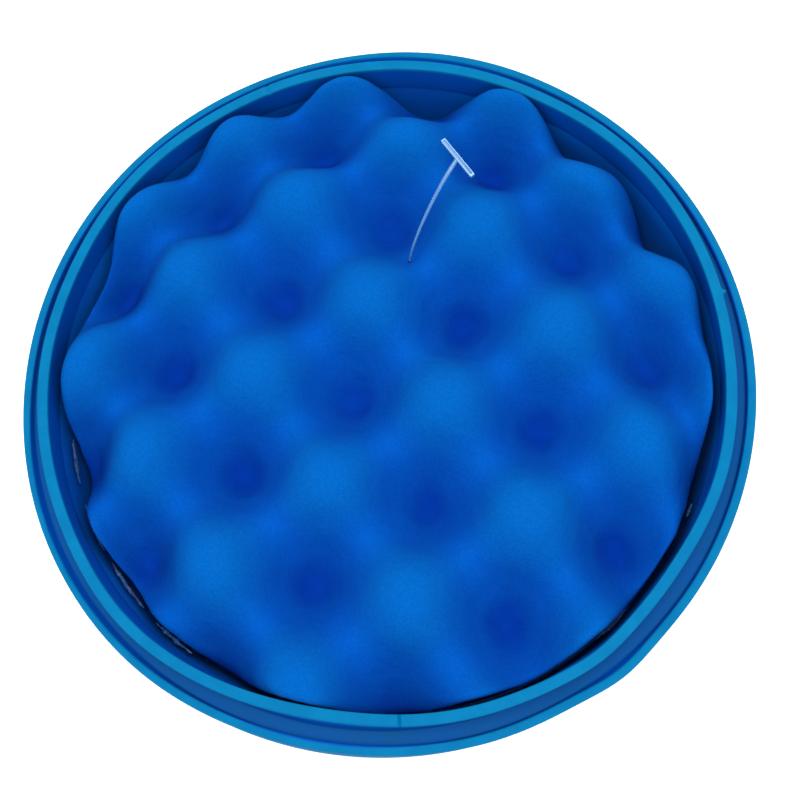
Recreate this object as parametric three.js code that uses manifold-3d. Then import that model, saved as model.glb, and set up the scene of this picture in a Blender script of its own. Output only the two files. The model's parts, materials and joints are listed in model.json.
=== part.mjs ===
// A round, washable sponge filter. A stiff cup carries a soft rim seal with two lips round its top edge.
// A support grid drops into the cup, and a felt disc and a convoluted foam pad lie on it. Blobs of
// hot-melt glue hold the foam to the wall, and a nylon tag pin runs down through foam, felt and grid.
// Millimetres, +Z up. The origin is the middle of the cup's base ring, on the surface it stands on.
import * as THREE from "three";
import { RoundedBoxGeometry } from "three/addons/geometries/RoundedBoxGeometry.js";
import { mergeVertices } from "three/addons/utils/BufferGeometryUtils.js";
import Module from "manifold-3d";

const wasm = await Module();
wasm.setup();

// Overall sizes
const SEAL_RADIUS = 75;
const TOTAL_HEIGHT = 33;
const TOUCH_GAP = 0.3;

// Cup: a drafted wall with a ledge for the grid near its foot and a flange at its top
const CUP_WALL = 1.7;
const CUP_INNER_AT_LEDGE = 66.9;
const CUP_INNER_AT_TOP = 68.5;
const LEDGE_INNER = 62.4;
const LEDGE_UNDER = 1.6;
const LEDGE_TOP = 3.4;
const FLANGE_RADIUS = 73.2;
const FLANGE_UNDER = 23.9;
const FLANGE_TOP = 25.5;

// Rim seal: a tall inner lip, a groove, a low outer lip, and a hook that grips under the cup's flange
const TALL_LIP_INNER = 68.4;
const TALL_LIP_OUTER = 70.6;
const TALL_LIP_STEM = 70.1;
const LOW_LIP_INNER = 73.2;
const LOW_LIP_DROP = 4.1;
const GROOVE_DROP = 6.1;
const SEAL_HOOK_INNER = 71.4;
const SEAL_HOOK_THICKNESS = 1.2;
const LIP_ROUNDING = 0.4;

// Support grid: a rim ring, three inner rings, a hub and spokes, with snap nibs in the cup's windows
const GRID_THICKNESS = 2.2;
const GRID_RIM_OUTER = 66.3;
const GRID_RIM_INNER = 62.8;
const GRID_BAR = 1.8;
const GRID_RINGS = [24, 37, 50];
const HUB_RADIUS = 9;
const SPOKE_COUNT = 16;
const SNAP_COUNT = 4;
const NIB = { length: 6.5, reach: 67.9, height: 1.2 };
const WINDOW = { length: 8, bottom: 3.9, top: 6.1 };

// Felt disc and foam pad
const PAD_RADIUS = 66.2;
const FELT_THICKNESS = 2.4;
const FOAM_CREST_ABOVE_RIM = 1.5;
const FOAM_RELIEF = 18;
const EGG_PITCH = 28.1;
const EGG_TURN = THREE.MathUtils.degToRad(34.1);
const EGG_DIP = { x: -6.7, y: -2.6 };
const DIP_SHARPNESS = 1.35;
const EDGE_SQUEEZE = 0.0083;
const EDGE_SQUEEZE_FROM = 41.3;
const EDGE_SHIFT = { x: -0.0025, y: 0.0118 };
const FOAM_TOP_RINGS = 20;

// Tag pin: a paddle under the grid, a shank through the pad, a bent filament and a T-bar above the foam
const PIN = { x: 5.6, y: 26.3, radius: 0.3, holeRadius: 0.8 };
const PADDLE = { length: 14, width: 4.5, thickness: 0.9, gap: 0.4 };
const T_BAR = { length: 10.3, width: 1.2, thickness: 1, x: 16.4, y: 41.6, z: 42, degrees: -54.6 };
const FILAMENT_ROUTE = [
  [6.7, 28.2, 31],
  [8.3, 30.2, 34.2],
  [10.1, 32.9, 37],
  [12.3, 35.9, 39.3],
  [14.4, 38.8, 41],
];

// Glue blobs in the gap between foam and wall: where along the rim, how long, how tall, and how high up
const GLUE_RADIUS = 67.1;
const GLUE_HALF_THICKNESS = 0.55;
const GLUE_DABS = [
  { degrees: 47, length: 5, height: 3, z: 20 },
  { degrees: 193, length: 14, height: 4, z: 21 },
  { degrees: 209, length: 10, height: 5, z: 20.5 },
  { degrees: 220, length: 9, height: 3, z: 20 },
  { degrees: 232, length: 12, height: 4, z: 22 },
  { degrees: 311, length: 8, height: 4, z: 22 },
  { degrees: 336, length: 4, height: 3, z: 20 },
];

// Fineness of the round shapes
const TURN_STEPS = 72;
const FILAMENT_STEPS = 30;
const FILAMENT_SIDES = 8;
const HOLE_SIDES = 12;
const MERGE_DISTANCE = 1e-4;

// Heights worked out from the sizes above
const GRID_BOTTOM = LEDGE_TOP + TOUCH_GAP;
const GRID_TOP = GRID_BOTTOM + GRID_THICKNESS;
const FELT_BOTTOM = GRID_TOP + TOUCH_GAP;
const FOAM_BOTTOM = FELT_BOTTOM + FELT_THICKNESS + TOUCH_GAP;
const FOAM_CREST = TOTAL_HEIGHT + FOAM_CREST_ABOVE_RIM;
const QUARTER_TURN = Math.PI / 2;

const seal_blue = { color: 0x0c86c4, roughness: 0.45, metalness: 0 };
const frame_blue = { color: 0x0a5aa8, roughness: 0.4, metalness: 0 };
const foam_blue = { color: 0x0a62cc, roughness: 1, metalness: 0 };
const felt_white = { color: 0xd9dde0, roughness: 1, metalness: 0 };
const clear_nylon = { color: 0xdfe8f0, roughness: 0.25, metalness: 0 };
const glue_amber = { color: 0x8fa6b8, roughness: 0.3, metalness: 0 };

const sponge_filter = new THREE.Group();

function addPiece(name, geometry, finish) {
  const piece = new THREE.Mesh(geometry, new THREE.MeshStandardMaterial(finish));
  piece.name = name;
  sponge_filter.add(piece);
}

function solidFrom(geometry) {
  const bare = geometry.clone();
  bare.deleteAttribute("normal");
  bare.deleteAttribute("uv");
  const merged = mergeVertices(bare, MERGE_DISTANCE);
  return new wasm.Manifold(
    new wasm.Mesh({
      numProp: 3,
      vertProperties: merged.attributes.position.array,
      triVerts: new Uint32Array(merged.index.array),
    }),
  );
}

function geometryFrom(solid) {
  const mesh = solid.getMesh();
  const geometry = new THREE.BufferGeometry();
  geometry.setAttribute("position", new THREE.BufferAttribute(mesh.vertProperties, 3));
  geometry.setIndex(new THREE.BufferAttribute(mesh.triVerts, 1));
  geometry.computeVertexNormals();
  return geometry;
}

// A profile of [radius, height] points, turned round the Z axis.
function turned(profile) {
  const points = profile.map(([radius, height]) => new THREE.Vector2(radius, height));
  return new THREE.LatheGeometry(points, TURN_STEPS).rotateX(QUARTER_TURN);
}

function turnedRing(inner, outer, bottom, top) {
  return turned([
    [inner, bottom],
    [outer, bottom],
    [outer, top],
    [inner, top],
    [inner, bottom],
  ]);
}

function turnedDisc(radius, bottom, top) {
  return turned([
    [0, bottom],
    [radius, bottom],
    [radius, top],
    [0, top],
  ]);
}

// A box that lies along a radius: from one radius to another, of some width, at an angle round the axis.
function radialBox(from, to, width, bottom, top, angle) {
  return new THREE.BoxGeometry(to - from, width, top - bottom)
    .translate((from + to) / 2, 0, (bottom + top) / 2)
    .rotateZ(angle);
}

function evenAngles(count, first = 0) {
  return Array.from({ length: count }, (_, i) => first + (i * 2 * Math.PI) / count);
}

const SNAP_ANGLES = evenAngles(SNAP_COUNT, Math.PI / SNAP_COUNT);

function pinHole() {
  return solidFrom(
    new THREE.CylinderGeometry(PIN.holeRadius, PIN.holeRadius, TOTAL_HEIGHT * 2, HOLE_SIDES)
      .rotateX(QUARTER_TURN)
      .translate(PIN.x, PIN.y, TOTAL_HEIGHT / 2),
  );
}

function frameCup() {
  const drafted = turned([
    [LEDGE_INNER, LEDGE_UNDER],
    [CUP_INNER_AT_LEDGE, LEDGE_UNDER],
    [CUP_INNER_AT_LEDGE, 0],
    [CUP_INNER_AT_LEDGE + CUP_WALL, 0],
    [CUP_INNER_AT_TOP + CUP_WALL, FLANGE_UNDER],
    [FLANGE_RADIUS, FLANGE_UNDER],
    [FLANGE_RADIUS, FLANGE_TOP],
    [CUP_INNER_AT_TOP, FLANGE_TOP],
    [CUP_INNER_AT_LEDGE, LEDGE_TOP],
    [LEDGE_INNER, LEDGE_TOP],
    [LEDGE_INNER, LEDGE_UNDER],
  ]);
  let cup = solidFrom(drafted);
  for (const angle of SNAP_ANGLES) {
    const inner = CUP_INNER_AT_LEDGE - CUP_WALL;
    const outer = CUP_INNER_AT_TOP + 2 * CUP_WALL;
    const window = radialBox(inner, outer, WINDOW.length, WINDOW.bottom, WINDOW.top, angle);
    cup = cup.subtract(solidFrom(window));
  }
  return geometryFrom(cup);
}

function supportGrid() {
  const middle = (GRID_BOTTOM + GRID_TOP) / 2;
  let grid = solidFrom(turnedRing(GRID_RIM_INNER, GRID_RIM_OUTER, GRID_BOTTOM, GRID_TOP));
  for (const radius of GRID_RINGS) {
    const ring = turnedRing(radius - GRID_BAR / 2, radius + GRID_BAR / 2, GRID_BOTTOM, GRID_TOP);
    grid = grid.add(solidFrom(ring));
  }
  evenAngles(SPOKE_COUNT).forEach((angle, i) => {
    const from = i % 2 ? GRID_RINGS[0] : HUB_RADIUS - GRID_BAR;
    const spoke = radialBox(from, GRID_RIM_INNER + GRID_BAR / 2, GRID_BAR, GRID_BOTTOM, GRID_TOP, angle);
    grid = grid.add(solidFrom(spoke));
  });
  grid = grid.add(solidFrom(turnedDisc(HUB_RADIUS, GRID_BOTTOM, GRID_TOP)));
  for (const angle of SNAP_ANGLES) {
    const root = GRID_RIM_OUTER - GRID_BAR;
    const bottom = middle - NIB.height / 2;
    const nib = radialBox(root, NIB.reach, NIB.length, bottom, bottom + NIB.height, angle);
    grid = grid.add(solidFrom(nib));
  }
  return geometryFrom(grid);
}

function rimSeal() {
  const foot = FLANGE_TOP + TOUCH_GAP;
  const hookTop = FLANGE_UNDER - TOUCH_GAP;
  const hookUnder = hookTop - SEAL_HOOK_THICKNESS;
  const channelEnd = FLANGE_RADIUS + TOUCH_GAP;
  const groove = TOTAL_HEIGHT - GROOVE_DROP;
  const lowLip = TOTAL_HEIGHT - LOW_LIP_DROP;
  const round = LIP_ROUNDING;
  const overhang = TALL_LIP_OUTER - TALL_LIP_STEM;
  const overhangUnder = TOTAL_HEIGHT - 4 * round;
  return turned([
    [TALL_LIP_INNER, foot],
    [channelEnd, foot],
    [channelEnd, hookTop],
    [SEAL_HOOK_INNER, hookTop],
    [SEAL_HOOK_INNER, hookUnder],
    [SEAL_RADIUS - round, hookUnder],
    [SEAL_RADIUS, hookUnder + round],
    [SEAL_RADIUS, lowLip - round],
    [SEAL_RADIUS - round, lowLip],
    [LOW_LIP_INNER + round / 2, lowLip],
    [LOW_LIP_INNER, lowLip - round / 2],
    [LOW_LIP_INNER - round / 2, groove],
    [TALL_LIP_STEM + round / 2, groove],
    [TALL_LIP_STEM, groove + round / 2],
    [TALL_LIP_STEM, overhangUnder - overhang],
    [TALL_LIP_OUTER, overhangUnder],
    [TALL_LIP_OUTER, TOTAL_HEIGHT - round],
    [TALL_LIP_OUTER - round, TOTAL_HEIGHT],
    [TALL_LIP_INNER + round, TOTAL_HEIGHT],
    [TALL_LIP_INNER, TOTAL_HEIGHT - round],
    [TALL_LIP_INNER, foot],
  ]);
}

function feltDisc() {
  const disc = turnedDisc(PAD_RADIUS, FELT_BOTTOM, FELT_BOTTOM + FELT_THICKNESS);
  return geometryFrom(solidFrom(disc).subtract(pinHole()));
}

// Height of the convoluted face. Crests and dips alternate on a square lattice. Near the edge the lattice
// is squeezed inwards and pushed to one side, because the pad was cut a little larger than the cup.
function foamHeight(x, y) {
  const radius = Math.hypot(x, y);
  const beyond = Math.max(0, radius - EDGE_SQUEEZE_FROM) ** 2;
  const relaxed = 1 + (EDGE_SQUEEZE * beyond) / Math.max(radius, 1);
  const dx = x * relaxed + EDGE_SHIFT.x * beyond - EGG_DIP.x;
  const dy = y * relaxed + EDGE_SHIFT.y * beyond - EGG_DIP.y;
  const along = (dx * Math.cos(EGG_TURN) + dy * Math.sin(EGG_TURN)) / EGG_PITCH;
  const across = (dx * Math.sin(EGG_TURN) - dy * Math.cos(EGG_TURN)) / EGG_PITCH;
  const wave = Math.cos(2 * Math.PI * along) + Math.cos(2 * Math.PI * across);
  return FOAM_CREST - FOAM_RELIEF * Math.max(0, (2 + wave) / 4) ** DIP_SHARPNESS;
}

function foamPad() {
  const profile = [
    [0, FOAM_BOTTOM],
    [PAD_RADIUS, FOAM_BOTTOM],
  ];
  for (let ring = FOAM_TOP_RINGS; ring >= 0; ring -= 1) {
    profile.push([(PAD_RADIUS * ring) / FOAM_TOP_RINGS, FOAM_CREST]);
  }
  const pad = turned(profile);
  const position = pad.attributes.position;
  const faceLevel = (FOAM_BOTTOM + FOAM_CREST) / 2;
  for (let i = 0; i < position.count; i += 1) {
    if (position.getZ(i) > faceLevel) {
      position.setZ(i, foamHeight(position.getX(i), position.getY(i)));
    }
  }
  return geometryFrom(solidFrom(pad).subtract(pinHole()));
}

function tagPin() {
  const paddleTop = GRID_BOTTOM - PADDLE.gap;
  const exit = foamHeight(PIN.x, PIN.y);
  const route = [
    [PIN.x, PIN.y, paddleTop - PADDLE.thickness / 2],
    [PIN.x, PIN.y, (paddleTop + exit) / 2],
    [PIN.x, PIN.y, exit],
    ...FILAMENT_ROUTE,
    [T_BAR.x, T_BAR.y, T_BAR.z],
  ];
  const path = new THREE.CatmullRomCurve3(route.map(([x, y, z]) => new THREE.Vector3(x, y, z)));
  const section = new THREE.Shape().absarc(0, 0, PIN.radius, 0, 2 * Math.PI);
  const filament = new THREE.ExtrudeGeometry(section, {
    steps: FILAMENT_STEPS,
    curveSegments: FILAMENT_SIDES,
    extrudePath: path,
  });
  const tBar = new RoundedBoxGeometry(T_BAR.length, T_BAR.width, T_BAR.thickness, 1, PIN.radius)
    .rotateZ(THREE.MathUtils.degToRad(T_BAR.degrees))
    .translate(T_BAR.x, T_BAR.y, T_BAR.z);
  const acrossRadius = Math.atan2(PIN.y, PIN.x) + QUARTER_TURN;
  const paddle = new RoundedBoxGeometry(PADDLE.length, PADDLE.width, PADDLE.thickness, 1, PIN.radius)
    .rotateZ(acrossRadius)
    .translate(PIN.x, PIN.y, paddleTop - PADDLE.thickness / 2);
  return geometryFrom(solidFrom(filament).add(solidFrom(tBar)).add(solidFrom(paddle)));
}

// A tapered blob that follows the curve of the wall.
function glueDab({ degrees, length, height, z }) {
  const blob = new THREE.SphereGeometry(1, 12, 8).rotateX(QUARTER_TURN);
  const position = blob.attributes.position;
  const middle = THREE.MathUtils.degToRad(degrees);
  for (let i = 0; i < position.count; i += 1) {
    const angle = middle - (position.getX(i) * length) / 2 / GLUE_RADIUS;
    const radius = GLUE_RADIUS + position.getY(i) * GLUE_HALF_THICKNESS;
    const rise = (position.getZ(i) * height) / 2;
    position.setXYZ(i, radius * Math.cos(angle), radius * Math.sin(angle), z + rise);
  }
  return geometryFrom(solidFrom(blob));
}

addPiece("frame_cup", frameCup(), frame_blue);
addPiece("support_grid", supportGrid(), frame_blue);
addPiece("rim_seal", rimSeal(), seal_blue);
addPiece("felt_disc", feltDisc(), felt_white);
addPiece("foam_pad", foamPad(), foam_blue);
addPiece("tag_pin", tagPin(), clear_nylon);
GLUE_DABS.forEach((dab, i) => addPiece(`glue_dab_${i + 1}`, glueDab(dab), glue_amber));

export default sponge_filter;
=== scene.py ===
# %% [markdown]
# # A round sponge filter
# This lesson builds the look of a washable filter: a pad of convoluted blue foam in a stiff cup, with a
# soft two-lipped seal round the rim, a support grid and a felt disc under the foam, and a clear nylon tag
# pin through it. The working model is already packed as a fixed frame, so the first step opens that frame.
# Every piece made here takes its size and its place from it.

# %% Open the frame
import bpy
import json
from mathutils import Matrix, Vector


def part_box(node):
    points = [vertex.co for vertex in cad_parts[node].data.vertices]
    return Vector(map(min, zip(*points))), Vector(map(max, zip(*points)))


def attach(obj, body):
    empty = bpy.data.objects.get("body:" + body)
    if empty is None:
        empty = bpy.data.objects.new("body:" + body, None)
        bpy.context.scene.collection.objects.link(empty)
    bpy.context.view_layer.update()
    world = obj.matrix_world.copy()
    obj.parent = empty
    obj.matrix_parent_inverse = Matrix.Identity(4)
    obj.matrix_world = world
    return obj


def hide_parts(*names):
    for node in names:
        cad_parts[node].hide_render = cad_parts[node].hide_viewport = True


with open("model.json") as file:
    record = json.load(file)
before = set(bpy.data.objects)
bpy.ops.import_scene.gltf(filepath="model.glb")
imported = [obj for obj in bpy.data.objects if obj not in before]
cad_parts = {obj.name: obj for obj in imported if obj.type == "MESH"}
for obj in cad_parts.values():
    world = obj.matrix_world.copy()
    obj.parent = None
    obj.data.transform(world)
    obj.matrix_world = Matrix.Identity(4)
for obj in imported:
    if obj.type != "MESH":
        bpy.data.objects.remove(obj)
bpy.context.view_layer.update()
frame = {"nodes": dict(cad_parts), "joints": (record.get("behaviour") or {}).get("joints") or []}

print("The frame holds", sorted(frame["nodes"]))

# %% [markdown]
# ## The sizes that everything hangs on
# The boxes of the frame's pieces give the driving sizes: the rim's top, the pad's radius and the heights of
# the layers. The tag pin stands where its joint is. The rest of the lesson works in metres, and `MM` keeps
# small sizes readable.

# %% Read the sizes from the frame
import json
import math

import bmesh
import bpy
from mathutils import Matrix, Vector

MM = 0.001
FULL_TURN = 2 * math.pi
TOUCHING = 0.001 * MM

_, seal_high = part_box("rim_seal")
grid_low, grid_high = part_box("support_grid")
felt_low, felt_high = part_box("felt_disc")
foam_low, foam_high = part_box("foam_pad")

RIM_TOP = seal_high.z
PAD_RADIUS = foam_high.x
PIN_PLACE = Vector(frame["joints"][0]["pos_m"])
print(f"Rim top {RIM_TOP / MM:.1f} mm, pad radius {PAD_RADIUS / MM:.1f} mm, pin at", tuple(PIN_PLACE))

# %% [markdown]
# ## The camera
# The filter is seen from above and a little in front. The camera is placed by its own three directions
# rather than by angles: forward to the target, right as far as the world's Y allows, and up from those two.
# That keeps +Y towards the top.

# %% Place the camera
CAMERA_PLACE = Vector((20.97, -75.57, 261.53)) * MM
CAMERA_TARGET = Vector((3.97, -6.73, 33.0)) * MM
CAMERA_LENS = 54
CAMERA_SENSOR = 36

forward = (CAMERA_TARGET - CAMERA_PLACE).normalized()
right = forward.cross(Vector((0, 1, 0))).normalized()
up = right.cross(forward)

camera = bpy.data.objects.new("camera", bpy.data.cameras.new("camera"))
camera.data.lens = CAMERA_LENS
camera.data.sensor_width = CAMERA_SENSOR
camera.data.clip_start = 10 * MM
facing = Matrix((right, up, -forward)).transposed().to_4x4()
camera.matrix_world = Matrix.Translation(CAMERA_PLACE) @ facing
bpy.context.collection.objects.link(camera)
bpy.context.scene.camera = camera
print("The camera stands", round((CAMERA_PLACE - CAMERA_TARGET).length / MM), "mm from the rim")

# %% [markdown]
# ## Small helpers for node trees
# Materials and Geometry Nodes are both trees of nodes. One helper adds a node, sets its options and fills
# its inputs, whether with a plain value or with another node's output. Others write one step of arithmetic
# on numbers or on points.

# %% Helpers for node trees
def add(tree, kind, feeds=(), **options):
    """Put a node in a tree, set its options, and fill its inputs with sockets or plain values."""
    made = tree.nodes.new(kind)
    for option, choice in options.items():
        setattr(made, option, choice)
    for key, value in dict(feeds).items():
        if isinstance(value, bpy.types.NodeSocket):
            tree.links.new(value, made.inputs[key])
        else:
            made.inputs[key].default_value = value
    return made


def out(tree, kind, feeds=(), **options):
    """Put a node in a tree as add does, and return its first output."""
    return add(tree, kind, feeds, **options).outputs[0]


def calc(tree, operation, *values, clamp=False):
    """One step of arithmetic on numbers or sockets."""
    return out(tree, "ShaderNodeMath", enumerate(values), operation=operation, use_clamp=clamp)


def vector_calc(tree, operation, *points):
    """One step of arithmetic on points. A length or a distance comes out as a number."""
    made = add(tree, "ShaderNodeVectorMath", enumerate(points), operation=operation)
    return made.outputs["Value" if operation in ("LENGTH", "DISTANCE") else "Vector"]


def scaled(tree, point, factor):
    """A point or a direction times a number."""
    feeds = {0: point, "Scale": factor}
    return out(tree, "ShaderNodeVectorMath", feeds, operation="SCALE")


def sides_of(tree, point):
    """The X, Y and Z of a point."""
    return add(tree, "ShaderNodeSeparateXYZ", {"Vector": point}).outputs


def between(tree, value, low, high):
    """How far a value has come from low to high, kept from 0 to 1 and eased at both ends."""
    feeds = {"Value": value, "From Min": low, "From Max": high}
    return add(tree, "ShaderNodeMapRange", feeds, interpolation_type="SMOOTHSTEP").outputs["Result"]


# %% [markdown]
# ## Small helpers for finishes
# Every finish starts as a Principled shader whose patterns are laid out on Object coordinates, so they stay
# put on the piece and keep their real size in metres. `grain` is a noise with its feature size in metres,
# `blend` mixes two colours by a share, `paint` sets colour and roughness, and `ripple` feeds one or more
# heights to the normal as bump.

# %% Helpers for finishes
def new_finish(name, **constants):
    """A material with its Principled shader, its tree, and the coordinates that its patterns use."""
    finish = bpy.data.materials.new(name)
    finish.use_nodes = True
    tree = finish.node_tree
    shader = tree.nodes["Principled BSDF"]
    for label, value in constants.items():
        shader.inputs[label.replace("_", " ")].default_value = value
    where = add(tree, "ShaderNodeTexCoord").outputs["Object"]
    return finish, tree, shader, where


def grain(tree, where, size, detail=3.0, roughness=0.55, stretch=None):
    """A noise pattern from 0 to 1, with features of about the given size in metres."""
    if stretch:
        where = add(tree, "ShaderNodeMapping", {"Vector": where, "Scale": stretch}).outputs["Vector"]
    feeds = {"Vector": where, "Scale": 1 / size, "Detail": detail, "Roughness": roughness}
    return add(tree, "ShaderNodeTexNoise", feeds).outputs["Fac"]


def blend(tree, share, low, high):
    """A mix of two colours, which may be sockets or (red, green, blue) in linear light."""
    low, high = ((*colour, 1) if isinstance(colour, tuple) else colour for colour in (low, high))
    feeds = {"Factor": share, 6: low, 7: high}
    return add(tree, "ShaderNodeMix", feeds, data_type="RGBA").outputs[2]


def paint(tree, shader, colour, roughness=None):
    """Give a shader its colour, and its roughness where that varies."""
    tree.links.new(colour, shader.inputs["Base Color"])
    if roughness:
        tree.links.new(roughness, shader.inputs["Roughness"])


def ripple(tree, shader, *heights):
    """Chain bumps onto the shader's normal, each a (height socket, depth in metres, strength)."""
    normal = None
    for height, depth, strength in heights:
        feeds = {"Height": height, "Distance": depth, "Strength": strength}
        if normal:
            feeds["Normal"] = normal
        normal = add(tree, "ShaderNodeBump", feeds).outputs["Normal"]
    tree.links.new(normal, shader.inputs["Normal"])


# %% [markdown]
# ## Small helpers for meshes
# Most pieces are grown by Geometry Nodes. Their trees are built in code with named inputs, run once, and
# kept as a plain mesh. Rounded blocks and booleans do the rest. A finished piece has no doubles, its faces
# point out, and its edges are sharp only where the shape has them.

# %% Helpers for meshes
def show(name, mesh):
    """Make an object for a mesh, at the origin, unturned and unscaled."""
    piece = bpy.data.objects.new(name, mesh)
    bpy.context.collection.objects.link(piece)
    return piece


def clean(piece, sharp_degrees=40):
    """Merge doubles, point the faces outwards and shade smooth between sharp edges."""
    made = bmesh.new()
    made.from_mesh(piece.data)
    bmesh.ops.remove_doubles(made, verts=made.verts, dist=TOUCHING)
    bmesh.ops.dissolve_degenerate(made, edges=made.edges, dist=TOUCHING)
    bmesh.ops.recalc_face_normals(made, faces=made.faces)
    made.to_mesh(piece.data)
    open_edges = sum(not edge.is_manifold for edge in made.edges)
    made.free()
    piece.data.shade_smooth()
    piece.data.set_sharp_from_angle(angle=math.radians(sharp_degrees))
    print(f"{piece.name}: {len(piece.data.polygons)} faces, {open_edges} open edges")
    return piece


def bake_modifiers(piece):
    """Keep the result of an object's modifiers as its plain mesh, and take the modifiers off."""
    depsgraph = bpy.context.evaluated_depsgraph_get()
    mesh = bpy.data.meshes.new_from_object(piece.evaluated_get(depsgraph))
    piece.modifiers.clear()
    piece.data = mesh
    return piece


def new_tree(name, sizes):
    """A Geometry Nodes tree with a named input for each size: a number, a point or a material."""
    kinds = {int: "NodeSocketInt", float: "NodeSocketFloat", Vector: "NodeSocketVector"}
    tree = bpy.data.node_groups.new(name, "GeometryNodeTree")
    for label, size in sizes.items():
        kind = kinds.get(type(size), "NodeSocketMaterial")
        tree.interface.new_socket(label, in_out="INPUT", socket_type=kind)
    tree.interface.new_socket("Mesh", in_out="OUTPUT", socket_type="NodeSocketGeometry")
    return tree, tree.nodes.new("NodeGroupInput").outputs


def end_tree(tree, geometry, material):
    """End a tree: instances become real, and the material is set."""
    real = out(tree, "GeometryNodeRealizeInstances", {"Geometry": geometry})
    dressed = out(tree, "GeometryNodeSetMaterial", {"Geometry": real, "Material": material})
    add(tree, "NodeGroupOutput", {"Mesh": dressed})


def grow(name, tree, sizes):
    """Run a tree with the given sizes and keep the result as a plain mesh."""
    piece = show(name, bpy.data.meshes.new(name))
    modifier = piece.modifiers.new("grow", "NODES")
    modifier.node_group = tree
    for item in tree.interface.items_tree:
        if item.in_out == "INPUT":
            modifier[item.identifier] = sizes[item.name]
    return bake_modifiers(piece)


def rounded_block(size, rounding, place):
    """A block with every edge rounded, placed by a matrix. Returned as a bmesh."""
    made = bmesh.new()
    bmesh.ops.create_cube(made, size=1, matrix=Matrix.Diagonal((*size, 1)))
    bmesh.ops.bevel(
        made, geom=made.edges[:], offset=rounding, segments=3,
        affect="EDGES", profile=0.5, clamp_overlap=True,
    )
    made.transform(place)
    return made


def mesh_from(name, *parts):
    """One object from several bmeshes, which are freed."""
    mesh = bpy.data.meshes.new(name)
    together = bmesh.new()
    for part in parts:
        part.to_mesh(mesh)
        together.from_mesh(mesh)
        part.free()
    together.to_mesh(mesh)
    together.free()
    return show(name, mesh)


def combine(piece, other, operation):
    """Cut another object from a piece, or join it on, and throw the other away."""
    modifier = piece.modifiers.new(operation.lower(), "BOOLEAN")
    modifier.operation = operation
    modifier.object = other
    modifier.solver = "EXACT"
    bake_modifiers(piece)
    bpy.data.objects.remove(other)
    return piece


def wear(piece, finish):
    """Give a piece one finish, in place of what a boolean left on it."""
    piece.data.materials.clear()
    piece.data.materials.append(finish)


def along_radius(angle, radius, height):
    """A matrix that puts a block's X along a radius, at a place in the ring."""
    return Matrix.Rotation(angle, 4, "Z") @ Matrix.Translation((radius, 0, height))


# %% [markdown]
# ## The foam's finish
# The pad is open-cell polyurethane foam, dyed through in one strong blue. Its surface is a froth of cut
# cells a few tenths of a millimetre wide, without any gloss. A height ramp paints shade and light into the
# colour: the dips are painted a deeper blue as painted shade, and the crests a lighter blue as painted
# light. Three sizes of grain break it up.

# %% Make the foam finish
FOAM_CREST = RIM_TOP + 1.5 * MM
FOAM_RELIEF = 18 * MM
FOAM_DIP_SHADE = (0.0002, 0.021, 0.2)
FOAM_MIDDLE = (0.0003, 0.048, 0.275)
FOAM_CREST_LIGHT = (0.0003, 0.064, 0.262)
FOAM_PORE = (0.0001, 0.013, 0.12)
DIP_SHADE_FADE = (FOAM_CREST - FOAM_RELIEF + 2 * MM, FOAM_CREST - 9 * MM)
CREST_LIGHT_FADE = (FOAM_CREST - 8 * MM, FOAM_CREST + 3 * MM)
CELL_SIZE = 0.5 * MM
FROTH_SIZE = 0.7 * MM

foam_finish, tree, shader, where = new_finish("foam", Roughness=1.0, Specular_IOR_Level=0.02)
height = sides_of(tree, where)["Z"]
patches = grain(tree, where, 11 * MM, detail=4)
# Painted shade and light by height: deeper blue low in the dips, lighter blue high on the crests.
wander = calc(tree, "MULTIPLY_ADD", patches, 6 * MM, height)
colour = blend(tree, between(tree, wander, *DIP_SHADE_FADE), FOAM_DIP_SHADE, FOAM_MIDDLE)
colour = blend(tree, between(tree, wander, *CREST_LIGHT_FADE), colour, FOAM_CREST_LIGHT)
cells = grain(tree, where, CELL_SIZE, detail=2)
pores = between(tree, cells, 0.62, 0.4)
colour = blend(tree, calc(tree, "MULTIPLY", pores, 0.16), colour, FOAM_PORE)
paint(tree, shader, colour)
froth = add(tree, "ShaderNodeTexVoronoi", {"Vector": where, "Scale": 1 / FROTH_SIZE}).outputs["Distance"]
ripple(tree, shader, (patches, 0.5 * MM, 0.1), (froth, 0.2 * MM, 0.12), (cells, 0.15 * MM, 0.2))
print("Foam finish made")

# %% [markdown]
# ## The foam pad
# Convoluted foam is made by squeezing a flat sheet between studded rollers against a knife, which leaves
# crests and dips on a square lattice. That is a rule, so Geometry Nodes make it. One flat grid is wrapped
# into a closed disc, whose face follows two cosine waves, raised to a power that keeps the dips narrower
# than the crests. Near the rim the lattice is squeezed inwards and pushed to one side, because the pad was
# cut a little too large for its cup. The edge is rounded off, and at a few listed places it was pushed up
# or down, and out or in, when the pad was fitted by hand. A dimple lies where the tag pin pulls the foam
# in, and the needle's hole is bored last.

# %% Grow the foam pad
foam_sizes = {
    "Steps Round": 470,
    "Steps Across": 206,
    "Pad Radius": PAD_RADIUS,
    "Underside": foam_low.z,
    "Crest": FOAM_CREST,
    "Relief": FOAM_RELIEF,
    "Pitch": 28.1 * MM,
    "Lattice Turn": math.radians(34.1),
    "Dip Place": Vector((-6.7, -2.6, 0)) * MM,
    "Dip Sharpness": 1.35,
    "Squeeze": 8.3,
    "Squeeze From": 41.3 * MM,
    "Edge Shift": Vector((-2.5, 11.8, 0.0)),
    "Edge Rounding": 2.0 * MM,
    "Edge From": 52 * MM,
    "Dimple Place": PIN_PLACE,
    "Dimple Depth": 1.2 * MM,
    "Dimple Width": 1.8 * MM,
    "Lumps": 0.9 * MM,
    "Lump Size": 12 * MM,
    "Nap": 0.22 * MM,
    "Nap Size": 1.6 * MM,
    "Foam": foam_finish,
}
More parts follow.
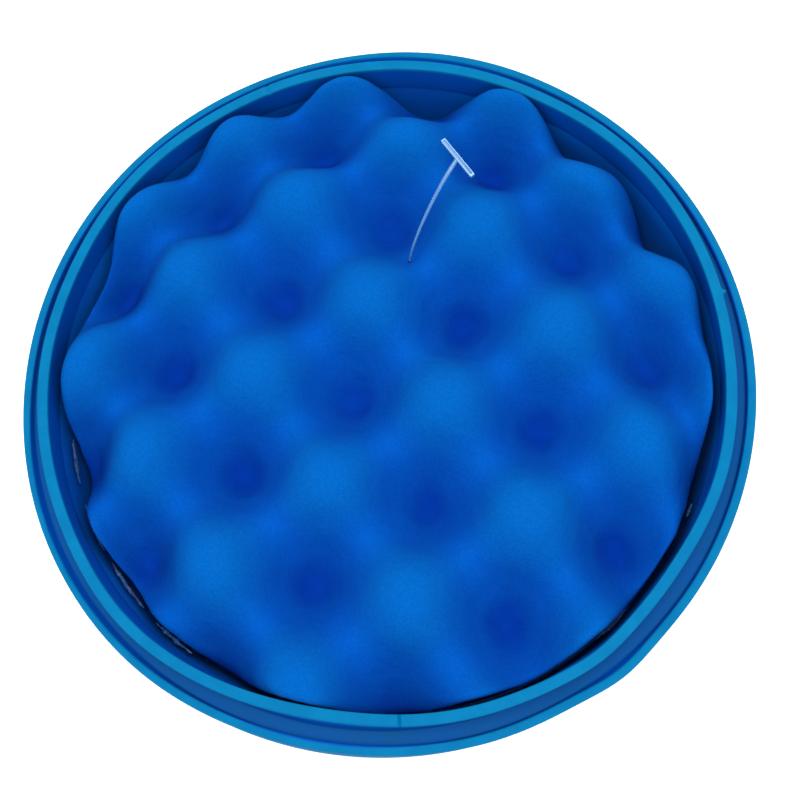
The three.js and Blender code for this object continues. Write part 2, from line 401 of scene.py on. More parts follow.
# An angle along the ring and a reach, in degrees, then the edge's lift and its push outwards in millimetres
EDGE_PLACES = [
    (14, 8, 0.0, 0.6), (26, 6, -2.0, -1.8), (50, 7, -1.5, -1.2), (63, 8, 1.0, 1.4), (96, 8, 0.5, 1.2),
    (120, 7, 0.5, 1.0), (145, 8, 0.0, 0.6), (180, 8, 0.5, 0.8), (262, 22, 0.0, 0.6), (300, 20, 0.0, 0.9),
]


def wrap_disc(tree, given, underside_ends, side_ends):
    """A flat grid, and the angle, radius and rise that close it to a disc. Its first rows, up to a share of
    them, become the underside, those up to a second share the side, and the rest the face."""
    feeds = {"Vertices X": given["Steps Round"], "Vertices Y": given["Steps Across"]}
    flat = add(tree, "GeometryNodeMeshGrid", feeds).outputs["Mesh"]
    sides = sides_of(tree, out(tree, "GeometryNodeInputPosition"))
    angle = calc(tree, "MULTIPLY", sides["X"], FULL_TURN)
    along = calc(tree, "ADD", sides["Y"], 0.5)
    outwards = calc(tree, "DIVIDE", along, underside_ends, clamp=True)
    inwards = calc(tree, "DIVIDE", calc(tree, "SUBTRACT", 1.0, along), 1 - side_ends, clamp=True)
    fine_edge = calc(tree, "SINE", calc(tree, "MULTIPLY", inwards, math.pi / 2))
    radius = calc(tree, "MULTIPLY", given["Pad Radius"], calc(tree, "MULTIPLY", outwards, fine_edge))
    past_underside = calc(tree, "SUBTRACT", along, underside_ends)
    rise = calc(tree, "DIVIDE", past_underside, side_ends - underside_ends, clamp=True)
    return flat, angle, radius, rise


def polar(tree, radius, angle, height=0.0):
    """A point from its radius, its angle and its height."""
    feeds = {
        "X": calc(tree, "MULTIPLY", radius, calc(tree, "COSINE", angle)),
        "Y": calc(tree, "MULTIPLY", radius, calc(tree, "SINE", angle)),
        "Z": height,
    }
    return out(tree, "ShaderNodeCombineXYZ", feeds)


def edge_places(tree, angle, column):
    """The edge's lift or push at an angle, in metres: one column of the listed places, summed."""
    total = 0.0
    for place in EDGE_PLACES:
        reach = 1 - math.cos(math.radians(place[1]))
        beside = calc(tree, "COSINE", calc(tree, "SUBTRACT", angle, math.radians(place[0])))
        fall = calc(tree, "DIVIDE", calc(tree, "SUBTRACT", beside, 1.0), reach)
        total = calc(tree, "MULTIPLY_ADD", calc(tree, "EXPONENT", fall), place[column] * MM, total)
    return total


def on_lattice(tree, given, place, radius):
    """A place as it lies from the middle of a dip, along the rows, with the squeeze near the rim undone."""
    beyond = calc(tree, "MAXIMUM", calc(tree, "SUBTRACT", radius, given["Squeeze From"]), 0.0)
    beyond = calc(tree, "MULTIPLY", beyond, beyond)
    gathered = calc(tree, "DIVIDE", beyond, calc(tree, "MAXIMUM", radius, MM))
    relaxed = calc(tree, "MULTIPLY_ADD", gathered, given["Squeeze"], 1.0)
    pushed = scaled(tree, given["Edge Shift"], beyond)
    stretched = vector_calc(tree, "ADD", scaled(tree, place, relaxed), pushed)
    from_dip = vector_calc(tree, "SUBTRACT", stretched, given["Dip Place"])
    feeds = {"Vector": from_dip, "Angle": calc(tree, "MULTIPLY", given["Lattice Turn"], -1.0)}
    return sides_of(tree, out(tree, "ShaderNodeVectorRotate", feeds, rotation_type="Z_AXIS"))


def face_height(tree, given, place, radius):
    """The height of the convoluted face over a place, with the edge rounding and the pin's dimple."""
    sides = on_lattice(tree, given, place, radius)
    waves = []
    for side in ("X", "Y"):
        turns = calc(tree, "MULTIPLY", calc(tree, "DIVIDE", sides[side], given["Pitch"]), FULL_TURN)
        waves.append(calc(tree, "COSINE", turns))
    share = calc(tree, "DIVIDE", calc(tree, "ADD", calc(tree, "ADD", *waves), 2.0), 4.0, clamp=True)
    depth = calc(tree, "MULTIPLY", calc(tree, "POWER", share, given["Dip Sharpness"]), given["Relief"])
    height = calc(tree, "SUBTRACT", given["Crest"], depth)
    flat_end = calc(tree, "SUBTRACT", given["Pad Radius"], given["Edge Rounding"])
    past_flat = calc(tree, "SUBTRACT", radius, flat_end)
    over = calc(tree, "DIVIDE", past_flat, given["Edge Rounding"], clamp=True)
    arc = calc(tree, "SQRT", calc(tree, "SUBTRACT", 1.0, calc(tree, "MULTIPLY", over, over)))
    drop = calc(tree, "MULTIPLY", calc(tree, "SUBTRACT", 1.0, arc), given["Edge Rounding"])
    to_pin = vector_calc(tree, "DISTANCE", place, given["Dimple Place"])
    reach = calc(tree, "POWER", calc(tree, "DIVIDE", to_pin, given["Dimple Width"]), 2.0)
    dimple = calc(tree, "DIVIDE", given["Dimple Depth"], calc(tree, "ADD", reach, 1.0))
    return calc(tree, "SUBTRACT", calc(tree, "SUBTRACT", height, drop), dimple)


def shake(tree, geometry, size, depth):
    """Move every point a little, by a noise of the given feature size and depth."""
    here = out(tree, "GeometryNodeInputPosition")
    feeds = {"Vector": here, "Scale": calc(tree, "DIVIDE", 1.0, size), "Detail": 2.0}
    noise = add(tree, "ShaderNodeTexNoise", feeds).outputs["Color"]
    offset = scaled(tree, vector_calc(tree, "SUBTRACT", noise, (0.5, 0.5, 0.5)), depth)
    return out(tree, "GeometryNodeSetPosition", {"Geometry": geometry, "Offset": offset})


def reshape(tree, geometry, place, size, depth):
    """Put every point in a new place, merge those that touch, and make the result a little uneven."""
    feeds = {"Geometry": geometry, "Position": place}
    moved = out(tree, "GeometryNodeSetPosition", feeds)
    feeds = {"Geometry": moved, "Distance": TOUCHING}
    return shake(tree, out(tree, "GeometryNodeMergeByDistance", feeds), size, depth)


tree, given = new_tree("Convoluted foam", foam_sizes)
flat, angle, radius, rise = wrap_disc(tree, given, underside_ends=0.12, side_ends=0.24)
face = face_height(tree, given, polar(tree, radius, angle), radius)
at_edge = between(tree, radius, given["Edge From"], given["Pad Radius"])
face = calc(tree, "MULTIPLY_ADD", edge_places(tree, angle, 2), at_edge, face)
climb = calc(tree, "MULTIPLY", calc(tree, "SUBTRACT", face, given["Underside"]), rise)
push = calc(tree, "MULTIPLY", calc(tree, "MULTIPLY", edge_places(tree, angle, 3), at_edge), rise)
height = calc(tree, "ADD", given["Underside"], climb)
wrapped = polar(tree, calc(tree, "ADD", radius, push), angle, height)
pad = reshape(tree, flat, wrapped, given["Lump Size"], given["Lumps"])
pad = shake(tree, pad, given["Nap Size"], given["Nap"])
end_tree(tree, pad, given["Foam"])

HOLE_RADIUS = 0.42 * MM
NEEDLE_MIDDLE = 20 * MM
NEEDLE_LENGTH = 60 * MM


def needle_hole():
    """A thin cylinder to bore the pin's hole with, through every layer."""
    made = bmesh.new()
    place = Matrix.Translation(PIN_PLACE + Vector((0, 0, NEEDLE_MIDDLE)))
    size = {"radius1": HOLE_RADIUS, "radius2": HOLE_RADIUS, "depth": NEEDLE_LENGTH}
    bmesh.ops.create_cone(made, cap_ends=True, segments=20, matrix=place, **size)
    return mesh_from("needle_hole", made)


foam_pad = clean(grow("convoluted_foam", tree, foam_sizes), sharp_degrees=60)
foam_pad = clean(combine(foam_pad, needle_hole(), "DIFFERENCE"), sharp_degrees=60)
wear(foam_pad, foam_finish)
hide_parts("foam_pad")
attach(foam_pad, "filter")

# %% [markdown]
# ## The seal's finish
# The seal is soft thermoplastic rubber, moulded in one shot. The tops of the lips and the outside keep its
# light satin blue. The inner faces and the groove's sides are painted a deeper blue as painted shade, and
# the groove's floor is painted greyer, partly for fine dust that settles there and partly as painted
# shade. Each zone is found by its radius and its height, so it follows the ring all the way round.

# %% Make the seal finish
SEAL_COLOUR = (0.0003, 0.089, 0.21)
SEAL_WORN = (0.0005, 0.101, 0.228)
SEAL_SHADED_INSIDE = (0.0002, 0.048, 0.275)
GROOVE_DUST_AND_SHADE = (0.003, 0.055, 0.165)
BLEND = 0.3 * MM
GROOVE_INNER = 70.2 * MM
GROOVE_FLOOR = RIM_TOP - 6.1 * MM
LOW_LIP_INNER = 73.2 * MM
LOW_LIP_MIDDLE = 74.1 * MM
LOW_LIP_TOP = 28.9 * MM


def ring_radius(tree, where):
    """Distance from the filter's axis, for patterns that follow the ring."""
    return vector_calc(tree, "LENGTH", vector_calc(tree, "MULTIPLY", where, (1.0, 1.0, 0.0)))


seal_finish, tree, shader, where = new_finish("seal_rubber", IOR=1.48, Specular_IOR_Level=0.02)
height = sides_of(tree, where)["Z"]
radius = ring_radius(tree, where)
mottle = grain(tree, where, 6 * MM, detail=5)
speck = grain(tree, where, 0.45 * MM, detail=2)
colour = blend(tree, between(tree, mottle, 0.35, 0.65), SEAL_COLOUR, SEAL_WORN)
# Painted shade: inside the low lip and below the tall lip's top, the rubber is painted a deeper blue.
within = between(tree, radius, LOW_LIP_INNER + BLEND, LOW_LIP_INNER)
under_rim = between(tree, height, RIM_TOP - BLEND, RIM_TOP - 1.1 * MM)
colour = blend(tree, calc(tree, "MULTIPLY", within, under_rim), colour, SEAL_SHADED_INSIDE)
# Painted shade too: the low lip's inner face, below its top, is painted the same deeper blue.
beside_lip = between(tree, radius, LOW_LIP_MIDDLE + BLEND, LOW_LIP_MIDDLE)
under_lip = between(tree, height, LOW_LIP_TOP, LOW_LIP_TOP - 0.5 * MM)
colour = blend(tree, calc(tree, "MULTIPLY", beside_lip, under_lip), colour, SEAL_SHADED_INSIDE)
# The groove's floor is painted greyer and darker, partly for dust and partly as painted shade.
past_tall_lip = between(tree, radius, GROOVE_INNER - MM, GROOVE_INNER)
near_floor = between(tree, height, GROOVE_FLOOR + 2 * MM, GROOVE_FLOOR)
in_groove = calc(tree, "MULTIPLY", calc(tree, "MULTIPLY", within, past_tall_lip), near_floor)
dust_and_shade = calc(tree, "MULTIPLY", in_groove, calc(tree, "MULTIPLY_ADD", mottle, 0.6, 0.45))
colour = blend(tree, dust_and_shade, colour, GROOVE_DUST_AND_SHADE)
paint(tree, shader, colour, calc(tree, "MULTIPLY_ADD", speck, 0.2, 0.5))
ripple(tree, shader, (mottle, 0.2 * MM, 0.2), (speck, 0.02 * MM, 0.4))
print("Seal finish made")

# %% [markdown]
# ## Turning outlines
# Seal and cup are round about one axis, so each is an outline carried round it: a list of corners, each
# with the distance over which it is rounded off. Long sides are divided, so that a lip can bend, and the
# angles are closer together where there is a nick or a burr to shape.

# %% Helpers for turned pieces
def rounded_outline(corners, steps=4, longest=1.2 * MM):
    """Corners as (radius, height, rounding) in millimetres, returned as a closed outline in metres."""
    points = []
    for i, (radius, height, cut) in enumerate(corners):
        corner = Vector((radius, height))
        before = Vector(corners[i - 1][:2])
        after = Vector(corners[(i + 1) % len(corners)][:2])
        start = corner + (before - corner).normalized() * cut
        end = corner + (after - corner).normalized() * cut
        for step in range(steps + 1 if cut else 1):
            t = step / steps
            points.append((start * (1 - t) ** 2 + corner * 2 * t * (1 - t) + end * t * t) * MM)
    finer = []
    for here, following in zip(points, points[1:] + points[:1]):
        pieces = max(1, math.ceil((following - here).length / longest))
        finer.extend(here.lerp(following, piece / pieces) for piece in range(pieces))
    return finer


def turn_outline(name, outline, angles, shape=None):
    """Carry an outline round the axis. shape(radius, height, angle) may move each point."""
    mesh = bpy.data.meshes.new(name)
    points = []
    for angle in angles:
        for radius, height in outline:
            if shape:
                radius, height = shape(radius, height, angle)
            points.append((radius * math.cos(angle), radius * math.sin(angle), height))
    rows, columns = len(angles), len(outline)
    faces = []
    for row in range(rows):
        for column in range(columns):
            next_row, next_column = (row + 1) % rows, (column + 1) % columns
            corners = (row, column), (next_row, column), (next_row, next_column), (row, next_column)
            faces.append([r * columns + c for r, c in corners])
    mesh.from_pydata(points, [], faces)
    return show(name, mesh)


def even_angles(count):
    """Angles evenly spaced round the ring."""
    return [FULL_TURN * i / count for i in range(count)]


def degrees_apart(angle, degrees):
    """How many degrees an angle lies past a place on the ring, from -180 to 180."""
    return (math.degrees(angle) - degrees + 180) % 360 - 180


# %% [markdown]
# ## The rim seal
# The seal is pushed over the cup's flange. A tall lip stands inside, a low one outside, and a groove lies
# between them. Soft rubber never stays quite round: the tall lip leans inwards along the front, both lips
# stand out at one kink, and the low lip is thinner inside at two places. The mould leaves two nicks in the
# tall lip and a scrap of flash over the groove. Short lists say where along the ring each of these lies.

# %% Turn the rim seal
SEAL_CORNERS = [
    (68.4, 25.55, 0.1), (73.5, 25.55, 0.2), (73.5, 23.6, 0.2), (71.4, 23.6, 0.3), (71.4, 22.4, 0.4),
    (75.0, 22.4, 0.6), (75.0, 25.5, 0.05), (75.12, 25.62, 0.04), (75.0, 25.74, 0.05), (75.0, 28.9, 0.5),
    (73.2, 28.9, 0.4), (73.1, 26.9, 0.4), (70.25, 26.9, 0.4), (70.1, 31.0, 0.3), (70.6, 31.5, 0.3),
    (70.6, 33.0, 0.35), (68.4, 33.0, 0.35),
]
# An angle along the ring and a reach, in degrees, then millimetres outwards, or downwards for a nick
TALL_LIP_LEANS = [
    (5, 10, -0.3), (38, 12, 0.3), (60, 8, -0.2), (82, 12, 0.2), (122, 12, -0.4), (160, 12, -0.4),
    (225, 14, 0.8), (262, 18, -1.4), (302, 8, 0.4), (307, 6, 0.4), (325, 8, -0.3), (342, 8, 0.2),
]
LOW_LIP_LEANS = [
    (20, 15, -0.3), (80, 20, 1.0), (120, 30, -0.1), (207, 20, 0.6), (230, 15, 0.7), (262, 18, -0.5),
    (286, 10, 0.4), (307, 6, 1.2), (318, 20, 0.45),
]
LOW_LIP_THINS = [(97, 18, 0.8), (207, 22, 0.8)]
NICKS = [(273.2, 0.22, 0.5), (111.0, 0.3, 0.3)]
BURR = (12.0, 0.35, 0.8)
BURR_FROM = 70.3 * MM
LEAN_FROM = 26.5 * MM
LIPS_PART = 72 * MM
LEAN_CURVE = 1.3
NICKS_ABOVE = 0.8
BURR_ABOVE = 0.7
SEAL_STEPS = 432
FINE_STEPS = range(-10, 11)
FINE_STEP = 0.1


def lean(angle, places):
    """The lean at an angle, in metres, summed over the places."""
    total = 0.0
    for place, reach, amount in places:
        total += amount * math.exp(-((degrees_apart(angle, place) / reach) ** 2))
    return total * MM


def seal_shape(radius, height, angle):
    """Bend the lips, cut the nicks and raise the burr."""
    raised = max(0.0, (height - LEAN_FROM) / (RIM_TOP - LEAN_FROM))
    tall = radius < LIPS_PART
    if tall:
        radius += lean(angle, TALL_LIP_LEANS) * raised**LEAN_CURVE
        if raised > NICKS_ABOVE:
            height -= lean(angle, NICKS)
    else:
        thinned = lean(angle, LOW_LIP_THINS) if radius < LOW_LIP_MIDDLE else 0.0
        radius += (lean(angle, LOW_LIP_LEANS) + thinned) * min(1.0, raised * 2)
    if tall and radius > BURR_FROM and raised > BURR_ABOVE:
        radius += lean(angle, [BURR])
    return radius, height


seal_angles = even_angles(SEAL_STEPS)
for place, _, _ in (*NICKS, BURR):
    seal_angles += [math.radians(place + step * FINE_STEP) for step in FINE_STEPS]
seal_angles = sorted(set(seal_angles))
rim_seal = clean(turn_outline("soft_rim_seal", rounded_outline(SEAL_CORNERS), seal_angles, seal_shape))
wear(rim_seal, seal_finish)
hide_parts("rim_seal")
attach(rim_seal, "filter")

# %% [markdown]
# ## The hard plastic's finish
# Cup and grid are injection-moulded polypropylene in a darker blue, with faint flow mottling, a fine
# spark-eroded texture from the mould, and pale scuffs on the edges it is set down on.

# %% Make the hard plastic finishes
def plastic_finish(name, colour, deep, scuffed, scuff_top):
    """A satin moulded plastic whose lowest edges are scuffed pale up to a height."""
    finish, tree, shader, where = new_finish(name, IOR=1.49, Specular_IOR_Level=0.15)
    height = sides_of(tree, where)["Z"]
    flow = grain(tree, where, 18 * MM, detail=4, stretch=(1.0, 1.0, 2.5))
    texture = grain(tree, where, 0.3 * MM, detail=2)
    scratches = grain(tree, where, 1.5 * MM, detail=6, roughness=0.8)
    mixed = blend(tree, between(tree, flow, 0.3, 0.7), deep, colour)
    near_foot = between(tree, height, scuff_top, scuff_top - 1.2 * MM)
    worn = calc(tree, "MULTIPLY", near_foot, between(tree, scratches, 0.52, 0.8))
    glaze = calc(tree, "MULTIPLY_ADD", texture, 0.25, 0.28)
    roughness = calc(tree, "MULTIPLY_ADD", worn, 0.3, glaze)
    paint(tree, shader, blend(tree, worn, mixed, scuffed), roughness)
    ripple(tree, shader, (flow, 0.3 * MM, 0.15), (texture, 0.02 * MM, 0.5), (scratches, 0.03 * MM, 0.15))
    return finish


CUP_COLOURS = ((0.0003, 0.076, 0.35), (0.0002, 0.058, 0.3), (0.1, 0.25, 0.5))
GRID_COLOURS = ((0.001, 0.08, 0.36), (0.0008, 0.06, 0.3), (0.1, 0.28, 0.55))
cup_finish = plastic_finish("cup_plastic", *CUP_COLOURS, scuff_top=1.3 * MM)
grid_finish = plastic_finish("grid_plastic", *GRID_COLOURS, scuff_top=4.4 * MM)
print("Plastic finishes made")

# %% [markdown]
# ## The cup
# The cup is a drafted wall with a ledge for the grid near its foot, a flange at its top for the seal, and
# four windows that the grid's nibs snap into. It is turned from one outline, and the windows are cut out of
# it by a boolean with rounded blocks, as the mould's side cores would leave them.

# %% Turn the cup
CUP_CORNERS = [
    (62.4, 1.6, 0.3), (66.9, 1.6, 0.4), (66.9, 0.0, 0.4), (68.6, 0.0, 0.4), (70.1, 23.9, 0.4),
    (73.2, 23.9, 0.3), (73.2, 25.5, 0.4), (68.5, 25.5, 0.1), (66.9, 3.4, 0.4), (62.4, 3.4, 0.3),
]
CUP_STEPS = 288
WINDOW_LENGTH = 8 * MM
WINDOW_BOTTOM = 3.9 * MM
WINDOW_TOP = 6.1 * MM
WINDOW_COUNT = 4
WINDOW_ROUNDING = 0.5 * MM
CORE_DEPTH = 6 * MM
CORE_RADIUS = 68 * MM

cup_outline = rounded_outline(CUP_CORNERS, longest=6 * MM)
cup = clean(turn_outline("drafted_cup", cup_outline, even_angles(CUP_STEPS)))
core_size = (CORE_DEPTH, WINDOW_LENGTH, WINDOW_TOP - WINDOW_BOTTOM)
window_height = (WINDOW_TOP + WINDOW_BOTTOM) / 2
cores = []
for i in range(WINDOW_COUNT):
    place = along_radius(FULL_TURN * (i + 0.5) / WINDOW_COUNT, CORE_RADIUS, window_height)
    cores.append(rounded_block(core_size, WINDOW_ROUNDING, place))
cup = clean(combine(cup, mesh_from("window_cores", *cores), "DIFFERENCE"))
wear(cup, cup_finish)
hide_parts("frame_cup")
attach(cup, "filter")

# %% [markdown]
# ## The support grid
# The grid carries the felt and the foam, and lets air through. Rings and spokes repeat by a rule, so
# Geometry Nodes make them: rounded bars along circles and straight lines, copied round the hub, and joined
# into one moulding by a boolean. Four flat nibs at the rim snap into the cup's windows.

# %% Grow the support grid
grid_sizes = {
    "Bottom": grid_low.z,
    "Top": grid_high.z,
    "Bar Width": 1.8 * MM,
    "Bar Rounding": 0.35 * MM,
    "Spoke Share": 0.94,
    "Rim Inner": 62.8 * MM,
    "Rim Outer": 66.3 * MM,
    "First Ring": 24 * MM,
    "Second Ring": 37 * MM,
    "Third Ring": 50 * MM,
    "Hub Radius": 9 * MM,
    "Spokes": 8,
    "Nib Length": 6.5 * MM,
    "Nib Reach": 67.9 * MM,
    "Nib Height": 1.2 * MM,
    "Grid": grid_finish,
}


def bar_section(tree, width, height, rounding):
    """A rounded rectangle to carry along a line."""
    feeds = {"Width": width, "Height": height}
    corners = out(tree, "GeometryNodeCurvePrimitiveQuadrilateral", feeds)
    feeds = {"Curve": corners, "Count": 3, "Radius": rounding}
    return out(tree, "GeometryNodeFilletCurve", feeds, mode="POLY")


def circle_line(tree, radius, steps):
    """A circle, as a path or as a section."""
    feeds = {"Resolution": steps, "Radius": radius}
    return add(tree, "GeometryNodeCurvePrimitiveCircle", feeds).outputs["Curve"]


def carry(tree, section, line, **more):
    """A section carried along a line, with closed ends."""
    feeds = {"Curve": line, "Profile Curve": section, "Fill Caps": True, **more}
    return out(tree, "GeometryNodeCurveToMesh", feeds)


def lift(tree, geometry, height):
    """A geometry raised by a height."""
    rise = out(tree, "ShaderNodeCombineXYZ", {"Z": height})
    return out(tree, "GeometryNodeTransform", {"Geometry": geometry, "Translation": rise})


def ring_bar(tree, radius, section, middle):
    """A section carried round a circle."""
    return lift(tree, carry(tree, section, circle_line(tree, radius, 144)), middle)


def spokes(tree, count, start, end, section, middle, first_share):
    """A straight bar from one radius to another, copied evenly round the hub."""
    ends = [out(tree, "ShaderNodeCombineXYZ", {"X": x, "Z": middle}) for x in (start, end)]
    line = out(tree, "GeometryNodeCurvePrimitiveLine", {"Start": ends[0], "End": ends[1]})
    bar = carry(tree, section, line)
    centre = out(tree, "GeometryNodeMeshLine", {"Count": count, "Offset": (0.0, 0.0, 0.0)})
    number = out(tree, "GeometryNodeInputIndex")
    step = calc(tree, "DIVIDE", FULL_TURN, count)
    turn = calc(tree, "MULTIPLY", calc(tree, "ADD", number, first_share), step)
    rotation = out(tree, "ShaderNodeCombineXYZ", {"Z": turn})
    feeds = {"Points": centre, "Instance": bar, "Rotation": rotation}
    return out(tree, "GeometryNodeInstanceOnPoints", feeds)


tree, given = new_tree("Support grid", grid_sizes)
thickness = calc(tree, "SUBTRACT", given["Top"], given["Bottom"])
middle = calc(tree, "DIVIDE", calc(tree, "ADD", given["Top"], given["Bottom"]), 2.0)
rim_width = calc(tree, "SUBTRACT", given["Rim Outer"], given["Rim Inner"])
rim_radius = calc(tree, "DIVIDE", calc(tree, "ADD", given["Rim Outer"], given["Rim Inner"]), 2.0)
rounding = given["Bar Rounding"]
bar = bar_section(tree, given["Bar Width"], thickness, rounding)
low_height = calc(tree, "MULTIPLY", thickness, given["Spoke Share"])
low_bar = bar_section(tree, given["Bar Width"], low_height, rounding)
rim_bar = bar_section(tree, rim_width, thickness, rounding)
nib_bar = bar_section(tree, given["Nib Length"], given["Nib Height"], rounding)
members = [ring_bar(tree, given[f"{name} Ring"], bar, middle) for name in ("First", "Second", "Third")]
members.append(ring_bar(tree, rim_radius, rim_bar, middle))
hub_inside = calc(tree, "SUBTRACT", given["Hub Radius"], given["Bar Width"])
members.append(spokes(tree, given["Spokes"], hub_inside, rim_radius, low_bar, middle, 0.0))
members.append(spokes(tree, given["Spokes"], given["First Ring"], rim_radius, low_bar, middle, 0.5))
members.append(spokes(tree, WINDOW_COUNT, rim_radius, given["Nib Reach"], nib_bar, middle, 0.5))
feeds = {"Vertices": 72, "Side Segments": 1, "Radius": given["Hub Radius"], "Depth": thickness}
members.append(lift(tree, add(tree, "GeometryNodeMeshCylinder", feeds).outputs["Mesh"], middle))
moulding = add(tree, "GeometryNodeMeshBoolean", operation="UNION", solver="EXACT")
moulding.inputs["Self Intersection"].default_value = True
for member in members:
    real = out(tree, "GeometryNodeRealizeInstances", {"Geometry": member})
    tree.links.new(real, moulding.inputs[1])
end_tree(tree, moulding.outputs["Mesh"], given["Grid"])

support_grid = clean(grow("spoked_support_grid", tree, grid_sizes))
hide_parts("support_grid")
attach(support_grid, "filter")

# %% [markdown]
# ## The felt disc
# Under the foam lies a disc of needled polyester felt, the last, finest stage of the filter. It is cut flat
# from sheet, so its flat size is its own diameter. Geometry Nodes wrap the same grid as for the foam into a
# thin disc and make it a little uneven. Its colour is an off-white that has greyed with dust in patches,
# and its bump is a fine mesh of stretched fibres.

# %% Make the felt finish
felt_finish, tree, shader, where = new_finish("needled_felt", Roughness=0.95, Specular_IOR_Level=0.1)
soiled = grain(tree, where, 14 * MM, detail=5)
lay_one = grain(tree, where, 0.9 * MM, detail=4, stretch=(1.0, 6.0, 1.0))
lay_two = grain(tree, where, 0.9 * MM, detail=4, stretch=(5.0, 1.0, 1.0))
matted = calc(tree, "MAXIMUM", lay_one, lay_two)
colour = blend(tree, between(tree, soiled, 0.35, 0.7), (0.66, 0.69, 0.7), (0.5, 0.53, 0.56))
colour = blend(tree, between(tree, matted, 0.45, 0.75), (0.4, 0.43, 0.46), colour)
paint(tree, shader, colour)
ripple(tree, shader, (soiled, 0.4 * MM, 0.2), (matted, 0.25 * MM, 0.6))
print("Felt finish made")

# %% Grow the felt disc
FELT_GAP = 0.1 * MM
felt_sizes = {
    "Steps Round": 240,
    "Steps Across": 120,
    "Pad Radius": PAD_RADIUS,
    "Underside": felt_low.z + FELT_GAP,
    "Top": felt_high.z - FELT_GAP,
    "Lumps": 0.3 * MM,
    "Lump Size": 7 * MM,
    "Felt": felt_finish,
}
tree, given = new_tree("Felt disc", felt_sizes)
flat, angle, radius, rise = wrap_disc(tree, given, underside_ends=0.45, side_ends=0.53)
climb = calc(tree, "MULTIPLY", calc(tree, "SUBTRACT", given["Top"], given["Underside"]), rise)
wrapped = polar(tree, radius, angle, calc(tree, "ADD", given["Underside"], climb))
disc = reshape(tree, flat, wrapped, given["Lump Size"], given["Lumps"])
end_tree(tree, disc, given["Felt"])

felt_disc = clean(grow("needled_felt_disc", tree, felt_sizes), sharp_degrees=60)
felt_disc = clean(combine(felt_disc, needle_hole(), "DIFFERENCE"), sharp_degrees=60)
wear(felt_disc, felt_finish)

# %% [markdown]
# ### Loose fibres
# Needled felt always sheds a few fibres. Some lie loose on its underside, where they show between the bars.
# Geometry Nodes scatter one short bent fibre over a flat disc there, each copy turned at random and of a
# different length.

# %% Scatter the fibres
fibre_sizes = {
    "Spread": PAD_RADIUS - 2 * MM,
    "Level": felt_low.z + 0.05 * MM,
    "Density": 120000.0,
    "Seed": 4,
    "Thickness": 0.05 * MM,
    "Fibre": felt_finish,
}
tree, given = new_tree("Loose fibres", fibre_sizes)
feeds = {"Vertices": 96, "Radius": given["Spread"]}
patch = lift(tree, out(tree, "GeometryNodeMeshCircle", feeds, fill_type="NGON"), given["Level"])
feeds = {"Mesh": patch, "Density": given["Density"], "Seed": given["Seed"]}
spots = add(tree, "GeometryNodeDistributePointsOnFaces", feeds).outputs["Points"]
bend = {
    "Resolution": 5,
    "Start": (-1.6 * MM, 0.0, 0.0),
    "Start Handle": (-0.6 * MM, 0.9 * MM, -0.2 * MM),
    "End Handle": (0.5 * MM, -0.8 * MM, -0.2 * MM),
    "End": (1.6 * MM, 0.2 * MM, 0.0),
}
line = out(tree, "GeometryNodeCurvePrimitiveBezierSegment", bend)
section = circle_line(tree, calc(tree, "DIVIDE", given["Thickness"], 2.0), 3)
fibre = carry(tree, section, line)
feeds = {0: (-0.08, -0.08, 0.0), 1: (0.08, 0.08, FULL_TURN), "Seed": given["Seed"]}
turn = out(tree, "FunctionNodeRandomValue", feeds, data_type="FLOAT_VECTOR")
feeds = {2: 0.5, 3: 1.3, "Seed": given["Seed"]}
stretch = add(tree, "FunctionNodeRandomValue", feeds, data_type="FLOAT").outputs[1]
feeds = {"Points": spots, "Instance": fibre, "Rotation": turn, "Scale": stretch}
fibres = out(tree, "GeometryNodeInstanceOnPoints", feeds)
end_tree(tree, fibres, given["Fibre"])

loose_fibres = grow("loose_felt_fibres", tree, fibre_sizes)
print("Loose fibres:", len(loose_fibres.data.polygons), "faces")

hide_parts("felt_disc")
for piece in (felt_disc, loose_fibres):
    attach(piece, "filter")

# %% [markdown]
# ## The tag pin
# A nylon tag pin is shot through foam, felt and grid with a needle. A flat paddle stays under the grid, and
# a thin filament runs up through the hole, bends over above the foam and widens into a small gusset at the
# T-bar. Geometry Nodes carry a circle along that path, with a radius that changes on the way. T-bar and
# paddle are rounded blocks, and the T-bar has a sunken channel between two raised edges. A boolean joins it
# all, for it is one moulding.

# %% Make the nylon finish
T_BAR_TOP = 42.5 * MM
nylon_finish, tree, shader, where = new_finish(
    "clear_nylon", IOR=1.53, Transmission_Weight=0.5, Specular_IOR_Level=0.4
)
height = sides_of(tree, where)["Z"]
cloud = grain(tree, where, 1.2 * MM, detail=3)
fine = grain(tree, where, 0.15 * MM, detail=2)
# Painted highlight: the tops of the T-bar's raised edges are painted a lighter blue.
raised = between(tree, height, T_BAR_TOP - 0.3 * MM, T_BAR_TOP - 0.1 * MM)
colour = blend(tree, raised, (0.06, 0.22, 0.5), (0.3, 0.58, 0.8))
colour = blend(tree, calc(tree, "MULTIPLY", cloud, 0.2), colour, (0.25, 0.42, 0.65))
paint(tree, shader, colour, calc(tree, "MULTIPLY_ADD", fine, 0.25, 0.18))
ripple(tree, shader, (cloud, 0.1 * MM, 0.2), (fine, 0.02 * MM, 0.4))
print("Nylon finish made")

# %% Grow the filament
T_BAR_MIDDLE = Vector((16.4, 41.6, 42.0)) * MM
PADDLE_LEVEL = 2.85 * MM


def above(place, height):
    """A place raised by a height."""
    return place + Vector((0, 0, height))


